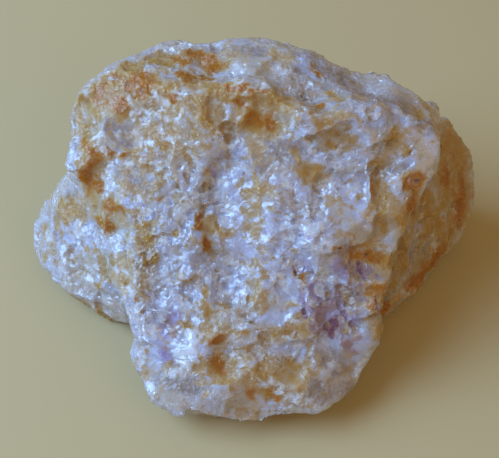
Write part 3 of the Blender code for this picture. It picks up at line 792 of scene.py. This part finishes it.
def quartzMaterial():
    material, shader = newMaterial("stainedQuartz")
    t = Tree(material.node_tree)
    place = t.vector("SCALE", t.node("ShaderNodeTexCoord").outputs["Object"], scale=1 / mm)
    swirl = t.noise(place, pattern["swirl"], 2.0, "Color")
    strayed = t.vector("ADD", place, t.vector("SCALE", swirl, scale=pattern["stray"]))
    broad = t.noise(strayed, pattern["broad"], 1.0)
    fine = t.even(t.noise(strayed, pattern["fine"], 3.0))
    speck = t.even(t.noise(place, pattern["speck"], 2.0))
    along = t.node("ShaderNodeMapping", {
        "Vector": strayed, "Rotation": pattern["streakTurn"], "Scale": pattern["streakStretch"]})
    streaks = t.noise(along.outputs[0], pattern["streaks"], 2.0)
    veins = t.math("ABSOLUTE", t.math("SUBTRACT", t.noise(strayed, pattern["veins"], 3.0), 0.5))
    veins = t.ramp(veins, 0.0, pattern["veinWidth"], 1, 0)
    big, middle, small = (t.parts(readAttribute(t, f"tone{number}", "Vector")) for number in range(3))
    crest, swell, clear, bare = (readAttribute(t, name) for name in ("crest", "swell", "clear", "bare"))

    def more(given, value, share):
        return t.math("ADD", given, t.math("MULTIPLY", value, share))

    def wavering(attribute, name):
        return more(readAttribute(t, attribute), fine, stain[name]["waver"])

    def lay(under, name, amount):
        row = stain[name]
        return t.blend(t.ramp(amount, *row["shows"], 0.0, row.get("cover", 1.0)), under, row["colour"])

    # honey stain: in its strokes, and in patches where no stroke is near
    patches = t.ramp(more(broad, big["X"], honeying["bigBreaks"]), *honeying["patchEdge"])
    near, far = honeying["patches"]
    patches = t.math("MULTIPLY", patches, t.math("MULTIPLY_ADD", bare, far, near))
    honey = t.math("MAXIMUM", readAttribute(t, "honey"), patches)
    honey = t.math("MAXIMUM", honey, t.math("MULTIPLY", readAttribute(t, "pale"), honeying["pale"]))
    honey = t.math("MAXIMUM", honey, readAttribute(t, "deep"))
    # each break shows the stain at another depth
    swings = [
        t.ramp(tone["X"], *toneSpan, -honeying[name], honeying[name])
        for tone, name in ((middle, "middleBreaks"), (small, "smallBreaks"))]
    depth = t.math("ADD", *swings)
    depth = more(depth, fine, honeying["fine"])
    depth = more(depth, speck, honeying["speck"])
    honey = t.math("ADD", honey, depth)
    honey = t.math("ADD", honey, t.ramp(swell, -1.0, 1.0, honeying["hollows"], -honeying["hollows"]))
    # the smallest breaks
    crush = t.math(
        "MULTIPLY",
        t.ramp(clear, *fineBreaks["fades"], 1.0, fineBreaks["inClear"]),
        t.ramp(honey, *fineBreaks["fades"], 1.0, fineBreaks["inHoney"]))
    smallest = t.node("ShaderNodeGroup", node_tree=grainGroup())
    t.feed(smallest.inputs["Place"], strayed)
    t.feed(smallest.inputs["Crush"], crush)
    # frost and painted highlight: crushed patches, painted glints and highlights, flecks, and crests
    # lightened partly as chipped edges and partly as painted edge highlight
    flecks = t.math("MULTIPLY", small["Y"], frostAndHighlightParts["smallBreaks"])
    flecks = t.math("MULTIPLY_ADD", middle["Y"], frostAndHighlightParts["middleBreaks"], flecks)
    flecks = more(flecks, smallest.outputs["Tone"], frostAndHighlightParts["fineBreaks"])
    dull = t.math("MAXIMUM", readAttribute(t, "smoke"), readAttribute(t, "mauve"))
    dull = t.math("MAXIMUM", honey, dull)
    near, far = frostAndHighlightParts["flecks"]
    flecks = t.math("MULTIPLY", flecks, t.math("MULTIPLY_ADD", bare, far, near))
    flecks = t.math("MULTIPLY", flecks, t.math("MULTIPLY_ADD", dull, -frostAndHighlightParts["stainLoss"], 1.0))
    frostAndHighlight = t.math("ADD", readAttribute(t, "frostAndHighlight"), t.math("MULTIPLY", flecks, crush))
    frostAndHighlight = more(frostAndHighlight, fine, stain["frostAndHighlight"]["waver"])
    frostAndHighlight = more(frostAndHighlight, speck, frostAndHighlightParts["speck"])
    # crests lighter: partly chipped white edges, partly painted edge highlight
    frostAndHighlight = more(frostAndHighlight, crest, frostAndHighlightParts["edges"])
    streaked = t.ramp(streaks, *pattern["streakEdge"], frostAndHighlightParts["betweenStreaks"], 1.0)
    frostAndHighlight = t.math("MULTIPLY", t.ramp(frostAndHighlight, *stain["frostAndHighlight"]["shows"]), streaked)
    frostAndHighlight = t.math("MAXIMUM", frostAndHighlight, t.math("MULTIPLY", veins, frostAndHighlightParts["veins"]))
    # the colours, each laid over the ones before
    coolness = more(broad, big["Y"], pattern["breaksInMilk"])
    coolness = more(coolness, middle["X"], pattern["breaksInMilk"])
    colour = lay(stain["milk"]["colour"], "coolMilk", coolness)
    for name, amount in (
            ("glass", clear),
            ("smoke", wavering("smoke", "smoke")),
            # painted blue sheen of the window light, in its strokes
            ("blueSheen", wavering("coolSheen", "blueSheen")),
            ("violet", wavering("violet", "violet")),
            ("mauve", t.math("ADD", readAttribute(t, "mauve"), depth)),
            ("paleHoney", honey),
            ("honey", honey),
            ("deepHoney", t.math("ADD", readAttribute(t, "deep"), depth)),
            ("plum", wavering("plum", "plum"))):
        colour = lay(colour, name, amount)
    # painted highlights and glints, with the white of crushed quartz, laid over the colours
    frostAndHighlightCover = t.math("MULTIPLY", frostAndHighlight, stain["frostAndHighlight"]["cover"])
    colour = t.blend(frostAndHighlightCover, colour, stain["frostAndHighlight"]["colour"])
    # painted shade: darker where a point sinks below the skin round it
    creviceShade = stain["creviceShade"]
    colour = t.blend(t.ramp(crest, *creviceShade["shows"], creviceShade["cover"], 0), colour, creviceShade["colour"])
    colour = lay(colour, "rust", wavering("rust", "rust"))
    t.feed(shader.inputs["Base Color"], colour)
    rough = t.ramp(middle["Z"], *toneSpan, *gloss["roughness"])
    t.feed(shader.inputs["Roughness"], more(rough, frostAndHighlight, gloss["frostAndHighlightRoughness"]))
    bump = t.node("ShaderNodeBump", {
        "Height": smallest.outputs["Height"], "Strength": gloss["bump"], "Distance": mm})
    t.feed(shader.inputs["Normal"], bump.outputs[0])
    t.feed(shader.inputs["Coat Weight"], t.ramp(dull, *gloss["coatFades"], gloss["coat"], 0.0))
    for socket, value in (
            ("IOR", gloss["ior"]),
            ("Specular IOR Level", gloss["specular"]),
            ("Transmission Weight", gloss["seeThrough"]),
            ("Subsurface Weight", gloss["milkiness"]),
            ("Subsurface Radius", gloss["milkReach"]),
            ("Subsurface Scale", gloss["milkDepth"] * mm),
            ("Coat Roughness", gloss["coatRoughness"]),
            ("Coat IOR", gloss["coatIor"])):
        shader.inputs[socket].default_value = value
    absorb = t.node("ShaderNodeVolumeAbsorption", {
        "Color": (*gloss["absorb"], 1), "Density": gloss["absorbDensity"]})
    out = next(node for node in material.node_tree.nodes if node.type == "OUTPUT_MATERIAL")
    t.feed(out.inputs["Volume"], absorb.outputs[0])
    return material


paper = {"colour": (0.485, 0.355, 0.165), "roughness": 0.8, "size": 3000}  # size in mm


def paperMaterial():
    material, shader = newMaterial("palePaper")
    shader.inputs["Base Color"].default_value = (*paper["colour"], 1)
    shader.inputs["Roughness"].default_value = paper["roughness"]
    return material


def addTable():
    deselectAll()
    bpy.ops.mesh.primitive_plane_add(size=paper["size"] * mm, location=(0, 0, 0))
    table = bpy.context.object
    table.name = "table"
    table.data.materials.append(paperMaterial())


addCamera()
addLight()
addTable()
print("camera, light and table are in place")
stone = breakStone()
stone.data.materials.append(quartzMaterial())
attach(stone, "root")
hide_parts("quartz")
print("the stone has its finish")
